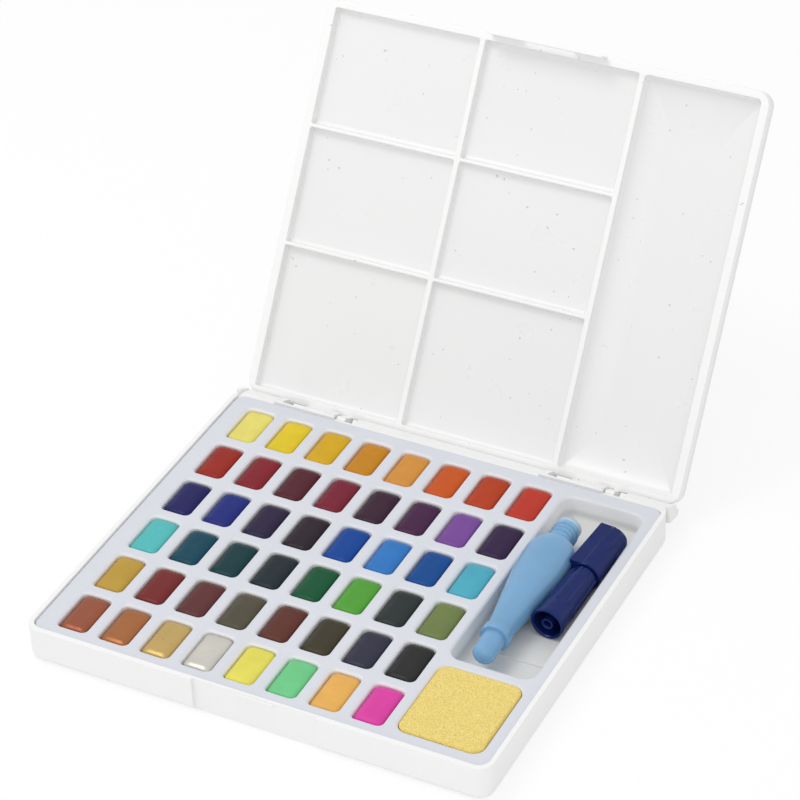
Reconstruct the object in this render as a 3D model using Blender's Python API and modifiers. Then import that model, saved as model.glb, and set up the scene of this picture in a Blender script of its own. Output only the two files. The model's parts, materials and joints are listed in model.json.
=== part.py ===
"""Watercolour paint box: a hinged plastic case with 48 pans, a sponge, a water tank and a brush.

Metres, +Z up, +X to the right along the front edge, +Y towards the hinge.
The origin is on the underside of the case. The lid is modelled open.
"""

import math

import bmesh
import bpy
from mathutils import Matrix, Vector

# Case
case_width = 0.190
case_front = 0.0832
case_rear = 0.0800
case_height = 0.0150
case_floor = 0.0014
side_wall = 0.0018
front_wall = 0.0022
rear_wall = 0.0018
case_corner = 0.0060
case_foot_round = 0.0025
rear_wall_drop = 0.0014

# Front recess with its snap ridge
recess_width = 0.0510
recess_depth = 0.0012
ridge_width = 0.0155
ridge_height = 0.0012
ridge_depth = 0.0006
ridge_drop = 0.0008

# Rear shoulder that carries the hinges and stops the lid
shoulder_reach = 0.0080
shoulder_under = 0.0063
shoulder_tip_low = 0.0066
shoulder_tip_top = 0.0082
shoulder_step_reach = 0.0057
shoulder_step_height = 0.0095
shoulder_brow_reach = 0.0056
shoulder_brow_height = 0.0121
shoulder_round = 0.0012

# Hinges
pivot_reach = 0.0015
pivot_height = 0.0109
hinge_left_inset = 0.0180
hinge_right_inset = 0.0547
gusset_thickness = 0.0031
slot_width = 0.0076
arm_width = 0.0110
bored_gusset_thickness = 0.0040
knuckle_width = 0.0039
knuckle_free = 0.0046
barrel_radius = 0.0020
pin_radius = 0.0011
bar_thickness = 0.0010
arm_rise = 0.0030
arm_shoulder_rise = 0.0019
arm_shoulder_reach = 0.0003
arm_back_rise = 0.0031

# Lid
lid_height = 0.0090
lid_floor = 0.0014
lid_side_rim = 0.0035
lid_front_rim = 0.0032
lid_rear_rim = 0.0031
lid_rear_set_in = 0.0002
lid_front_set_in = 0.0002
lid_corner = 0.0060
lid_back_round = 0.0035
lid_inner_corner = 0.0024
lid_well_round = 0.0018
lid_open_angle = math.radians(122.85)
well_depth = 0.0035
rib_drop = 0.0004
cross_rib_width = 0.0012
long_rib_width = 0.0022
bay_well_lead = 0.0112
left_column_share = 0.48991
hinge_row_share = 0.38019
centre_row_share = 0.31118
latch_width = 0.0494
latch_set_left = 0.0060
latch_drop = 0.0062
latch_thickness = 0.0009
latch_window_width = 0.0215
latch_window_height = 0.0030

# Tray
tray_sheet = 0.0010
tray_drop = 0.0009
tray_height = 0.0124
tray_corner = 0.0040
columns = 8
rows = 6
column_web = 0.0049
row_web = 0.0048
pocket_depth = 0.0092
pocket_corner = 0.0022
pan_left_margin = 0.0077
pan_rear_margin = 0.0062
pan_front_margin = 0.0048

# Brush bay and sponge pocket
bay_gap = 0.0046
bay_right_margin = 0.0046
bay_depth = 0.0085
bay_corner = 0.0050
bay_end_zone = 0.0170
bay_end_drop = 0.0008
sponge_front_margin = 0.0056
sponge_bar = 0.0046
sponge_pocket_corner = 0.0045

# Paint
cake_thickness = 0.0086
cake_round = 0.0013

# Sponge
sponge_proud = 0.0003

# Water tank
tank_wall = 0.0008
tank_belly_width = 0.0198
tank_belly_height = 0.0160
tank_belly_start = 0.0160
tank_belly_length = 0.0560
tank_neck_radius = 0.0050
tank_neck_length = 0.0105
tank_collar_radius = 0.0058
tank_waist_radius = 0.0049
tank_nub_radius = 0.0044
tank_nub_length = 0.0120
tank_front_gap = 0.0035
tank_side_gap = 0.0005
tank_grip_nesting = 0.0006
tank_turn = math.radians(1.4)

# Brush
grip_length = 0.0308
grip_mouth_radius = 0.0065
grip_end_radius = 0.0051
grip_socket_radius = 0.0055
grip_socket_depth = 0.0140
grip_front_gap = 0.0322
brush_wall_gap = 0.0011
brush_turn = math.radians(-2.5)
spigot_radius = 0.0043
spigot_length = 0.0030
feed_radius = 0.0023
feed_bore = 0.0014
feed_recess = 0.0010
ferrule_radius = 0.0030
ferrule_length = 0.0035
tuft_radius = 0.0022
tuft_length = 0.0140
tuft_tip_radius = 0.0002
cap_length = 0.0258
cap_radius = 0.0061
cap_end_radius = 0.0056
cap_rear_gap = 0.0147
cap_wall = 0.0013
cap_end_wall = 0.0014
clip_web_short = 0.0006

# Shared
clearance = 0.0003
overrun = 0.0020
overlap = 0.0004
weld = 0.00001

# Counts
corner_steps = 6
small_corner_steps = 2
turn_steps = 24
pin_steps = 20
ring_steps = 24

# Unit tables, as shares of the named sizes that they scale
belly_station_shares = (0.0, 0.14, 0.30, 0.46, 0.60, 0.72, 0.82, 0.89, 0.945, 0.98, 1.0)
belly_width_shares = (0.0, 0.20, 0.46, 0.71, 0.90, 0.99, 1.0, 0.92, 0.61, 0.22, 0.0)
belly_height_shares = (0.0, 0.22, 0.50, 0.76, 0.94, 1.0, 0.99, 0.88, 0.60, 0.24, 0.0)
nub_station_shares = (0.0, 0.04, 0.15, 0.38)
nub_radius_shares = (0.30, 0.62, 0.88, 1.0)
tuft_station_shares = (0.0, 0.35, 0.75)
tuft_radius_shares = (0.86, 1.0, 0.70)
clip_plate_shares = ((-1.03, 1.0), (0.13, 0.96), (0.13, 0.86), (-0.42, 0.80), (-1.03, 0.70))
clip_web_shares = ((-0.97, 0.08), (-0.97, 0.72), (-0.60, 0.72))

# Paints, rear row first, each row from left to right
paint_rows = (
    ("lemon", "cadmium_yellow", "indian_yellow", "ochre_orange",
     "light_orange", "vermilion", "scarlet", "red"),
    ("bright_red", "carmine", "maroon", "crimson",
     "plum_brown", "aubergine", "violet", "dark_violet"),
    ("indigo", "ultramarine", "deep_violet", "dark_aubergine",
     "cobalt", "sky_blue", "phthalo_blue", "turquoise"),
    ("aqua", "prussian", "dark_teal", "slate_green",
     "emerald", "grass_green", "dark_green", "olive"),
    ("yellow_ochre", "burnt_sienna", "red_brown", "olive_umber",
     "umber", "sepia", "paynes_grey", "black"),
    ("copper", "bronze", "gold", "pearl",
     "neon_yellow", "neon_green", "neon_orange", "neon_pink"),
)
paint_colours = {
    "lemon": (0.91, 0.80, 0.20), "cadmium_yellow": (0.85, 0.64, 0.04),
    "indian_yellow": (0.75, 0.45, 0.03), "ochre_orange": (0.64, 0.27, 0.03),
    "light_orange": (0.74, 0.33, 0.07), "vermilion": (0.64, 0.12, 0.03),
    "scarlet": (0.52, 0.07, 0.03), "red": (0.56, 0.06, 0.04),
    "bright_red": (0.36, 0.04, 0.03), "carmine": (0.26, 0.03, 0.04),
    "maroon": (0.11, 0.03, 0.04), "crimson": (0.22, 0.03, 0.05),
    "plum_brown": (0.06, 0.03, 0.05), "aubergine": (0.08, 0.03, 0.08),
    "violet": (0.22, 0.09, 0.36), "dark_violet": (0.05, 0.03, 0.08),
    "indigo": (0.03, 0.03, 0.13), "ultramarine": (0.03, 0.04, 0.23),
    "deep_violet": (0.04, 0.03, 0.07), "dark_aubergine": (0.04, 0.03, 0.04),
    "cobalt": (0.02, 0.08, 0.35), "sky_blue": (0.05, 0.22, 0.60),
    "phthalo_blue": (0.02, 0.09, 0.32), "turquoise": (0.10, 0.46, 0.60),
    "aqua": (0.12, 0.56, 0.56), "prussian": (0.02, 0.08, 0.12),
    "dark_teal": (0.02, 0.06, 0.07), "slate_green": (0.03, 0.04, 0.05),
    "emerald": (0.02, 0.11, 0.05), "grass_green": (0.11, 0.40, 0.06),
    "dark_green": (0.04, 0.05, 0.05), "olive": (0.19, 0.25, 0.09),
    "yellow_ochre": (0.56, 0.36, 0.07), "burnt_sienna": (0.21, 0.04, 0.04),
    "red_brown": (0.14, 0.05, 0.05), "olive_umber": (0.11, 0.10, 0.07),
    "umber": (0.14, 0.05, 0.04), "sepia": (0.07, 0.06, 0.04),
    "paynes_grey": (0.05, 0.05, 0.08), "black": (0.04, 0.04, 0.04),
    "copper": (0.36, 0.11, 0.06), "bronze": (0.42, 0.16, 0.06),
    "gold": (0.60, 0.42, 0.15), "pearl": (0.68, 0.66, 0.60),
    "neon_yellow": (0.87, 0.80, 0.14), "neon_green": (0.20, 0.68, 0.30),
    "neon_orange": (0.90, 0.50, 0.13), "neon_pink": (0.80, 0.08, 0.42),
}
metallic_paints = ("copper", "bronze", "gold", "pearl")

# Places that follow from the sizes above
rim_z = case_height
rim_plane_z = rim_z + clearance
tray_z = rim_z - tray_drop
tray_left = -case_width / 2 + side_wall + clearance
tray_right = -tray_left
tray_front = -case_front + front_wall + clearance
tray_rear = case_rear - rear_wall - clearance
bay_width = tank_side_gap + tank_belly_width + 2 * grip_mouth_radius + brush_wall_gap - tank_grip_nesting
bay_length = grip_front_gap + grip_length + clearance + cap_length + cap_rear_gap
bay_right = tray_right - bay_right_margin
bay_left = bay_right - bay_width
bay_rear = tray_rear - pan_rear_margin
bay_front = bay_rear - bay_length
pans_left = tray_left + pan_left_margin
pans_front = tray_front + pan_front_margin
column_pitch = (bay_left - bay_gap - pans_left + column_web) / columns
row_pitch = (bay_rear - pans_front + row_web) / rows
pocket_width = column_pitch - column_web
pocket_length = row_pitch - row_web
first_column_x = pans_left + pocket_width / 2
first_row_y = bay_rear - pocket_length / 2
bay_z = tray_z - bay_depth
sponge_rear = bay_front - sponge_bar
sponge_front = tray_front + sponge_front_margin
pivot_y = case_rear + pivot_reach
pivot = Vector((0, pivot_y, pivot_height))
lid_rear = case_rear - lid_rear_set_in
lid_front = -case_front + lid_front_set_in
cavity_rear = lid_rear - lid_rear_rim
cavity_front = lid_front + lid_front_rim
cavity_left = -case_width / 2 + lid_side_rim
right_rib_x = bay_left - bay_well_lead - long_rib_width / 2
left_rib_x = cavity_left + left_column_share * (right_rib_x - cavity_left)
hinge_rib_y = cavity_rear - hinge_row_share * (cavity_rear - cavity_front)
front_rib_y = hinge_rib_y - centre_row_share * (cavity_rear - cavity_front)
latch_centre_x = (left_rib_x + right_rib_x) / 2 - latch_set_left
brush_x = bay_right - brush_wall_gap - grip_mouth_radius + math.sin(brush_turn) * grip_length
brush_z = bay_z + clearance + grip_mouth_radius
brush_y = bay_front + grip_front_gap
cap_start = grip_length + clearance
tank_x = bay_left + tank_side_gap + tank_belly_width / 2 + math.sin(tank_turn) * tank_belly_length
tank_z = bay_z + clearance + tank_belly_height / 2
tank_y = bay_front + tank_front_gap


def clear_scene():
    """Remove the objects of the open file."""
    for item in list(bpy.data.objects):
        bpy.data.objects.remove(item, do_unlink=True)


def new_collection(name):
    """A collection under the scene's own."""
    found = bpy.data.collections.new(name)
    bpy.context.scene.collection.children.link(found)
    return found


def paint_material(name, colour, roughness, metallic=0.0):
    """A Principled material with one colour."""
    made = bpy.data.materials.new(name)
    made.use_nodes = True
    shader = made.node_tree.nodes["Principled BSDF"]
    shader.inputs["Base Color"].default_value = (*colour, 1)
    shader.inputs["Roughness"].default_value = roughness
    shader.inputs["Metallic"].default_value = metallic
    return made


def add_object(name, mesh, group, material=None):
    """Link a mesh as an object, with its material."""
    item = bpy.data.objects.new(name, mesh)
    group.objects.link(item)
    if material:
        mesh.materials.append(material)
    return item


def mark_cutter(item):
    """Show a cutter as a wire and keep it out of renders."""
    item.hide_render = True
    item.display_type = "WIRE"
    return item


def block_mesh(name, low, high, corner=0, edge=0, edge_side=0, edge_steps=2, steps=corner_steps):
    """A box with rounded upright corners and a rounded top or bottom edge."""
    form = bmesh.new()
    bmesh.ops.create_cube(form, size=1)
    low, high = Vector(low), Vector(high)
    bmesh.ops.scale(form, vec=high - low, verts=form.verts)
    bmesh.ops.translate(form, vec=(low + high) / 2, verts=form.verts)
    if corner:
        upright = [e for e in form.edges if abs(e.verts[0].co.z - e.verts[1].co.z) > weld]
        bmesh.ops.bevel(form, geom=upright, offset=corner, segments=steps,
                        profile=0.5, affect="EDGES")
    if edge:
        level = high.z if edge_side > 0 else low.z
        ring = [e for e in form.edges if all(abs(v.co.z - level) < weld for v in e.verts)]
        bmesh.ops.bevel(form, geom=ring, offset=edge, segments=edge_steps,
                        profile=0.5, affect="EDGES")
    mesh = bpy.data.meshes.new(name)
    form.to_mesh(mesh)
    form.free()
    return mesh


def profile_mesh(name, points, low_x, high_x):
    """A flat outline in the YZ plane, extruded along X between two planes."""
    line = bpy.data.curves.new(name, "CURVE")
    line.dimensions = "2D"
    line.fill_mode = "BOTH"
    line.extrude = (high_x - low_x) / 2
    run = line.splines.new("POLY")
    run.points.add(len(points) - 1)
    for spot, (y, z) in zip(run.points, points):
        spot.co = (y, z, 0, 1)
    run.use_cyclic_u = True
    holder = bpy.data.objects.new(name, line)
    bpy.context.scene.collection.objects.link(holder)
    bpy.context.view_layer.update()
    mesh = bpy.data.meshes.new_from_object(holder.evaluated_get(bpy.context.evaluated_depsgraph_get()))
    bpy.data.objects.remove(holder, do_unlink=True)
    bpy.data.curves.remove(line)
    turn = Matrix(((0, 0, 1, (low_x + high_x) / 2), (1, 0, 0, 0), (0, 1, 0, 0), (0, 0, 0, 1)))
    mesh.transform(turn)
    weld_mesh(mesh)
    return mesh


def weld_mesh(mesh):
    """Merge doubled points and turn the faces outwards."""
    form = bmesh.new()
    form.from_mesh(mesh)
    bmesh.ops.remove_doubles(form, verts=form.verts, dist=weld)
    bmesh.ops.recalc_face_normals(form, faces=form.faces)
    form.to_mesh(mesh)
    form.free()


def boolean(item, other, operation):
    """Add an exact boolean modifier."""
    made = item.modifiers.new(operation.title(), "BOOLEAN")
    made.operation = operation
    made.solver = "EXACT"
    made.object = other
    return made


def carve(item, name, mesh, group):
    """Cut a mesh out of an object."""
    boolean(item, mark_cutter(add_object(name, mesh, group)), "DIFFERENCE")


def fuse(item, name, mesh, group):
    """Join a mesh to an object."""
    boolean(item, mark_cutter(add_object(name, mesh, group)), "UNION")


def applied_mesh(item):
    """The evaluated mesh of an object, as new data."""
    bpy.context.view_layer.update()
    return bpy.data.meshes.new_from_object(item.evaluated_get(bpy.context.evaluated_depsgraph_get()))


def join_meshes(name, meshes):
    """Several separate closed meshes as one mesh."""
    form = bmesh.new()
    for mesh in meshes:
        form.from_mesh(mesh)
    joined = bpy.data.meshes.new(name)
    form.to_mesh(joined)
    form.free()
    return joined


def turned_object(name, profile, group, material):
    """A shape turned about the brush axis: profile holds (radius, place along +Y)."""
    mesh = bpy.data.meshes.new(name)
    points = [(radius, 0, along) for radius, along in profile]
    edges = [(n, n + 1) for n in range(len(points) - 1)]
    if profile[0][0] > 0:
        edges.append((len(points) - 1, 0))
    mesh.from_pydata(points, edges, [])
    item = add_object(name, mesh, group, material)
    screw = item.modifiers.new("Turn", "SCREW")
    screw.axis = "Z"
    screw.steps = turn_steps
    screw.render_steps = turn_steps
    screw.use_merge_vertices = True
    screw.merge_threshold = weld
    item.rotation_euler = (-math.pi / 2, 0, 0)
    return item


def smooth(item, angle=math.radians(40)):
    """Smooth shading with sharp creases."""
    item.data.shade_smooth()
    item.data.set_sharp_from_angle(angle=angle)


def shoulder_points():
    """The side profile of the rear shoulder."""
    tip = case_rear + shoulder_reach
    return (
        (case_rear - rear_wall / 2, shoulder_under + shoulder_round),
        (case_rear + shoulder_reach / 2, shoulder_under),
        (tip - shoulder_round, shoulder_under - shoulder_round / 4),
        (tip - shoulder_round / 4, shoulder_tip_low),
        (tip, shoulder_tip_low + shoulder_round / 2),
        (tip, shoulder_tip_top),
        (case_rear + shoulder_step_reach, shoulder_step_height),
        (case_rear + shoulder_brow_reach, shoulder_brow_height),
        (case_rear, rim_z),
        (case_rear - rear_wall / 2, rim_z),
    )


def gusset_points():
    """The side profile of a hinge gusset."""
    back = case_rear - rear_wall + overlap
    top = rim_z - overlap / 2
    face = case_rear + shoulder_brow_reach - overlap / 2
    return (
        (back, shoulder_under + shoulder_round),
        (face, shoulder_under + shoulder_round),
        (face, shoulder_brow_height),
        (case_rear + clearance, top),
        (back, top),
    )


def hinge_zones():
    """The left edge of each hinge zone."""
    return (hinge_left_inset - case_width / 2, case_width / 2 - hinge_right_inset)


def make_base_case(parts, cutters, material):
    """The case: a rounded box, open on top, with a front recess and a rear shoulder."""
    half = case_width / 2
    shell = block_mesh("base_case", (-half, -case_front, 0), (half, case_rear, case_height),
                       case_corner, case_foot_round, -1, 3)
    case = add_object("base_case", shell, parts, material)
    fuse(case, "shoulder_join", profile_mesh("shoulder_join", shoulder_points(), -half, half), cutters)
    inner = block_mesh("case_inner", (-half + side_wall, -case_front + front_wall, case_floor),
                       (half - side_wall, case_rear - rear_wall, case_height + overrun),
                       case_corner - side_wall)
    carve(case, "case_inner", inner, cutters)
    shelf = (
        (case_rear - rear_wall - overrun, rim_z + overrun),
        (case_rear - rear_wall - overrun, rim_z - rear_wall_drop),
        (case_rear, rim_z - rear_wall_drop),
        (case_rear + shoulder_reach + overrun, shoulder_step_height + clearance),
        (case_rear + shoulder_reach + overrun, rim_z + overrun),
    )
    carve(case, "shoulder_shelf",
          profile_mesh("shoulder_shelf", shelf, -half + side_wall, half - side_wall), cutters)
    recess_x = latch_centre_x
    recess = block_mesh("front_recess",
                        (recess_x - recess_width / 2, -case_front - overrun, -overrun),
                        (recess_x + recess_width / 2, -case_front + recess_depth, case_height + overrun))
    carve(case, "front_recess", recess, cutters)
    ridge_z = case_height - ridge_drop
    ridge = block_mesh("snap_ridge",
                       (recess_x - ridge_width / 2, -case_front + recess_depth - ridge_depth,
                        ridge_z - ridge_height),
                       (recess_x + ridge_width / 2, -case_front + recess_depth + overlap, ridge_z))
    fuse(case, "snap_ridge", ridge, cutters)
    for number, left in enumerate(hinge_zones()):
        cut_hinge_zone(case, number, left, cutters)
    smooth(case)
    return case


def cut_hinge_zone(case, number, left, cutters):
    """Open the shoulder for the lid's arms, then add the bar and the gussets."""
    slot_left = left + gusset_thickness
    arm_right = slot_left + slot_width + arm_width + 2 * clearance
    bored_right = arm_right + bored_gusset_thickness
    free_right = bored_right + knuckle_width + knuckle_free
    gap_y = case_rear - rear_wall + bar_thickness
    opening = block_mesh(f"hinge_opening_{number}", (slot_left, gap_y, shoulder_under - overrun),
                         (free_right, case_rear + shoulder_reach + overrun, rim_z + overrun))
    carve(case, f"hinge_opening_{number}", opening, cutters)
    bar = block_mesh(f"hinge_bar_{number}",
                     (left - overlap, case_rear - rear_wall + overlap / 4, rim_z - rear_wall_drop - overrun),
                     (bored_right + overlap, gap_y - overlap / 4, rim_z))
    fuse(case, f"hinge_bar_{number}", bar, cutters)
    gusset = profile_mesh(f"gusset_{number}", gusset_points(), left, slot_left)
    fuse(case, f"gusset_{number}", gusset, cutters)
    bored = profile_mesh(f"bored_gusset_{number}", gusset_points(), arm_right, bored_right)
    fuse(case, f"bored_gusset_{number}", bored, cutters)
    bore = pin_mesh(f"gusset_bore_{number}", pin_radius + clearance,
                    arm_right - overrun, bored_right + overrun)
    carve(case, f"gusset_bore_{number}", bore, cutters)


def pin_mesh(name, radius, low_x, high_x):
    """A round bar along X on the hinge axis."""
    form = bmesh.new()
    bmesh.ops.create_cone(form, cap_ends=True, segments=pin_steps, radius1=radius, radius2=radius,
                          depth=high_x - low_x)
    place = Matrix.Translation(((low_x + high_x) / 2, pivot.y, pivot.z))
    bmesh.ops.transform(form, matrix=place @ Matrix.Rotation(math.pi / 2, 4, "Y"), verts=form.verts)
    mesh = bpy.data.meshes.new(name)
    form.to_mesh(mesh)
    form.free()
    return mesh


def pan_centres():
    """Column, row and centre of each pan."""
    for row in range(rows):
        for column in range(columns):
            yield column, row, first_column_x + column * column_pitch, first_row_y - row * row_pitch


def make_insert_tray(parts, cutters, material):
    """The tray: one thin sheet that dips into each pocket, with a skirt."""
    solid = block_mesh("tray_block", (tray_left, tray_front, tray_z - tray_height),
                       (tray_right, tray_rear, tray_z), tray_corner)
    blank = mark_cutter(add_object("tray_block", solid, cutters))
    pockets = []
    for column, row, x, y in pan_centres():
        pockets.append(block_mesh("pocket",
                                  (x - pocket_width / 2, y - pocket_length / 2, tray_z - pocket_depth),
                                  (x + pocket_width / 2, y + pocket_length / 2, tray_z + overrun),
                                  pocket_corner, steps=small_corner_steps))
    pockets.append(block_mesh("bay", (bay_left, bay_front, bay_z),
                              (bay_right, bay_rear, tray_z + overrun), bay_corner))
    pockets.append(block_mesh("sponge_pocket", (bay_left, sponge_front, tray_z - pocket_depth),
                              (bay_right, sponge_rear, tray_z + overrun), sponge_pocket_corner))
    carve(blank, "tray_pockets", join_meshes("tray_pockets", pockets), cutters)
    for end, (low, high) in enumerate(((bay_front, bay_front + bay_end_zone),
                                       (bay_rear - bay_end_zone, bay_rear))):
        zone = block_mesh(f"bay_end_{end}",
                          (bay_left + bay_corner, low + bay_corner / 2, bay_z - bay_end_drop),
                          (bay_right - bay_corner, high - bay_corner / 2, tray_z + overrun))
        carve(blank, f"bay_end_{end}", zone, cutters)
    mesh = applied_mesh(blank)
    form = bmesh.new()
    form.from_mesh(mesh)
    under = [f for f in form.faces if all(abs(v.co.z - tray_z + tray_height) < weld for v in f.verts)]
    bmesh.ops.delete(form, geom=under, context="FACES")
    form.to_mesh(mesh)
    form.free()
    mesh.materials.clear()
    tray = add_object("insert_tray", mesh, parts, material)
    sheet = tray.modifiers.new("Sheet", "SOLIDIFY")
    sheet.thickness = tray_sheet
    sheet.offset = -1
    sheet.use_even_offset = True
    return tray


def make_cakes(parts):
    """Forty-eight cakes of paint, one object each, that share a mesh form."""
    low_z = tray_z - pocket_depth + clearance
    half_x = pocket_width / 2 - clearance
    half_y = pocket_length / 2 - clearance
    for column, row, x, y in pan_centres():
        name = paint_rows[row][column]
        shine = name in metallic_paints
        look = paint_material(name, paint_colours[name], 0.35 if shine else 0.5, 0.6 if shine else 0.0)
        mesh = block_mesh(f"cake_{name}", (-half_x, -half_y, 0), (half_x, half_y, cake_thickness),
                          pocket_corner - clearance, cake_round, 1, steps=small_corner_steps)
        cake = add_object(f"cake_{name}", mesh, parts, look)
        cake.location = (x, y, low_z)


def make_sponge(parts, material):
    """The sponge, a plain padded block in its pocket."""
    mesh = block_mesh("sponge",
                      (bay_left + clearance, sponge_front + clearance, tray_z - pocket_depth + clearance),
                      (bay_right - clearance, sponge_rear - clearance, tray_z + sponge_proud),
                      sponge_pocket_corner - clearance, sponge_proud, 1, 1)
    return add_object("sponge", mesh, parts, material)


def tank_stations():
    """Half width, half height and place along +Y of each ring of the tank."""
    stations = []
    for along, radius in zip(nub_station_shares, nub_radius_shares):
        stations.append((tank_nub_radius * radius, tank_nub_radius * radius, tank_nub_length * along))
    stations.append((tank_nub_radius, tank_nub_radius, tank_nub_length))
    stations.append((tank_collar_radius, tank_collar_radius, tank_nub_length + clearance))
    stations.append((tank_collar_radius, tank_collar_radius, tank_belly_start - clearance))
    for along, wide, high in zip(belly_station_shares, belly_width_shares, belly_height_shares):
        start = tank_waist_radius + (tank_neck_radius - tank_waist_radius) * along
        stations.append((start + (tank_belly_width / 2 - start) * wide,
                         start + (tank_belly_height / 2 - start) * high,
                         tank_belly_start + tank_belly_length * along))
    neck_end = tank_belly_start + tank_belly_length + tank_neck_length
    stations.append((tank_neck_radius, tank_neck_radius, neck_end))
    return stations


def loft_bottle(name, stations, wall):
    """A bottle with elliptical rings: outside, mouth rim and inside in one closed skin."""
    outer = list(stations)
    inner = [(a - wall, b - wall, along) for a, b, along in stations]
    inner[0] = (inner[1][0] / 2, inner[1][1] / 2, stations[0][2] + wall)
    inner[1] = (inner[1][0], inner[1][1], stations[1][2] + wall)
    form = bmesh.new()
    rings = []
    for a, b, along in outer + inner[::-1]:
        ring = []
        for n in range(ring_steps):
            angle = 2 * math.pi * n / ring_steps
            ring.append(form.verts.new((a * math.cos(angle), along, b * math.sin(angle))))
        rings.append(ring)
    for here, there in zip(rings, rings[1:]):
        for n in range(ring_steps):
            m = (n + 1) % ring_steps
            form.faces.new((here[n], here[m], there[m], there[n]))
    form.faces.new(rings[0])
    form.faces.new(rings[-1])
    bmesh.ops.recalc_face_normals(form, faces=form.faces)
    mesh = bpy.data.meshes.new(name)
    form.to_mesh(mesh)
    form.free()
    return mesh


def make_water_tank(parts, material):
    """The squeezable water tank, a hollow bottle that is open at its neck."""
    tank = add_object("water_tank", loft_bottle("water_tank", tank_stations(), tank_wall), parts, material)
    tank.location = (tank_x, tank_y, tank_z)
    tank.rotation_euler.z = tank_turn
    smooth(tank)
    return tank


def make_brush(parts, cutters, navy, tuft_look):
    """Grip, feed, tuft and cap, all turned about one axis, a little off +Y."""
    place = (brush_x, brush_y, brush_z)
    end = grip_length + spigot_length
    grip = turned_object("brush_grip", (
        (spigot_radius, end),
        (spigot_radius, grip_length),
        (grip_end_radius, grip_length),
        (grip_mouth_radius, 0),
        (grip_socket_radius, 0),
        (grip_socket_radius, grip_socket_depth),
        (feed_radius + clearance, grip_socket_depth),
        (feed_radius + clearance, end),
    ), parts, navy)
    ferrule_low = end + clearance
    ferrule_high = ferrule_low + ferrule_length
    feed = turned_object("brush_feed", (
        (ferrule_radius, ferrule_high),
        (ferrule_radius, ferrule_low),
        (feed_radius, ferrule_low),
        (feed_radius, feed_recess),
        (feed_bore, feed_recess),
        (feed_bore, ferrule_high),
    ), parts, navy)
    tuft_low = ferrule_high + clearance
    tuft_high = tuft_low + tuft_length
    sides = [(tuft_radius * radius, tuft_low + tuft_length * along)
             for along, radius in zip(tuft_station_shares, tuft_radius_shares)]
    tuft = turned_object("bristle_tuft",
                         [(0, tuft_high), (tuft_tip_radius, tuft_high)] + sides[::-1] + [(0, tuft_low)],
                         parts, tuft_look)
    cap = turned_object("brush_cap", (
        (0, cap_start + cap_length),
        (cap_end_radius, cap_start + cap_length),
        (cap_radius, cap_start),
        (cap_radius - cap_wall, cap_start),
        (cap_end_radius - cap_wall, cap_start + cap_length - cap_end_wall),
        (0, cap_start + cap_length - cap_end_wall),
    ), parts, navy)
    for item in (grip, feed, tuft, cap):
        item.location = place
        item.rotation_euler.z = brush_turn
        smooth(item)
    add_clip(cap, place, cutters)
    return grip, feed, tuft, cap


def tapered_prism(name, shares, low_y, high_y):
    """A bar along +Y whose outline follows the cap's radius from its mouth to its end."""
    form = bmesh.new()
    rings = []
    for y, radius in ((low_y, cap_radius), (high_y, cap_end_radius)):
        rings.append([form.verts.new((x * radius, y, z * radius)) for x, z in shares])
    form.faces.new(rings[0])
    form.faces.new(rings[1])
    for n in range(len(shares)):
        m = (n + 1) % len(shares)
        form.faces.new((rings[0][n], rings[0][m], rings[1][m], rings[1][n]))
    bmesh.ops.recalc_face_normals(form, faces=form.faces)
    mesh = bpy.data.meshes.new(name)
    form.to_mesh(mesh)
    form.free()
    return mesh


def add_clip(cap, place, cutters):
    """The flat clip along the cap: a plate level with its top and a web below it."""
    end = cap_start + cap_length
    turn = Matrix.Translation(place) @ Matrix.Rotation(brush_turn, 4, "Z")
    for name, shares, inset in (("clip_web", clip_web_shares, clip_web_short),
                                ("clip_plate", clip_plate_shares, overlap / 4)):
        bar = tapered_prism(name, shares, cap_start + inset, end - inset)
        bar.transform(turn)
        fuse(cap, name, bar, cutters)


def arm_points():
    """The side profile of a hinge arm on the closed lid."""
    y, z = pivot.y, pivot.z
    return (
        (lid_rear - overlap, rim_plane_z + clearance / 2),
        (pivot_y - barrel_radius + clearance / 2, rim_plane_z + clearance / 2),
        (y - barrel_radius, z + barrel_radius),
        (y - barrel_radius, z),
        (y - barrel_radius / 2, z - barrel_radius * math.sqrt(3) / 2),
        (y + barrel_radius / 2, z - barrel_radius * math.sqrt(3) / 2),
        (y + barrel_radius, z),
        (y + barrel_radius, z + arm_back_rise),
        (y + arm_shoulder_reach, rim_plane_z + arm_shoulder_rise),
        (lid_rear - overlap, rim_plane_z + arm_rise),
    )


def make_lid(parts, cutters, material):
    """The lid: mixing wells between ribs, one deep well over the bay, a latch and hinges."""
    half = case_width / 2
    top = rim_plane_z + lid_height
    outer = block_mesh("lid_palette", (-half, lid_front, rim_plane_z), (half, lid_rear, top),
                       lid_corner, lid_back_round, 1, 3)
    lid = add_object("lid_palette", outer, parts, material)
    cavity = block_mesh("lid_cavity", (cavity_left, cavity_front, rim_plane_z - overrun),
                        (-cavity_left, cavity_rear, rim_plane_z + well_depth),
                        lid_inner_corner, lid_well_round, 1)
    carve(lid, "lid_cavity", cavity, cutters)
    add_ribs(lid, cutters)
    deep = block_mesh("bay_well", (right_rib_x + long_rib_width / 2, cavity_front, rim_plane_z - overrun),
                      (-cavity_left, cavity_rear, top - lid_floor),
                      lid_inner_corner, lid_well_round, 1)
    carve(lid, "bay_well", deep, cutters)
    add_latch(lid, cutters)
    for number, left in enumerate(hinge_zones()):
        add_hinge_arms(lid, number, left, cutters)
    mesh = applied_mesh(lid)
    mesh.transform(Matrix.Translation(-pivot))
    mesh.transform(Matrix.Rotation(-lid_open_angle, 4, "X"))
    old = lid.data
    lid.modifiers.clear()
    lid.data = mesh
    bpy.data.meshes.remove(old)
    lid.location = pivot
    smooth(lid)
    return lid


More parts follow.
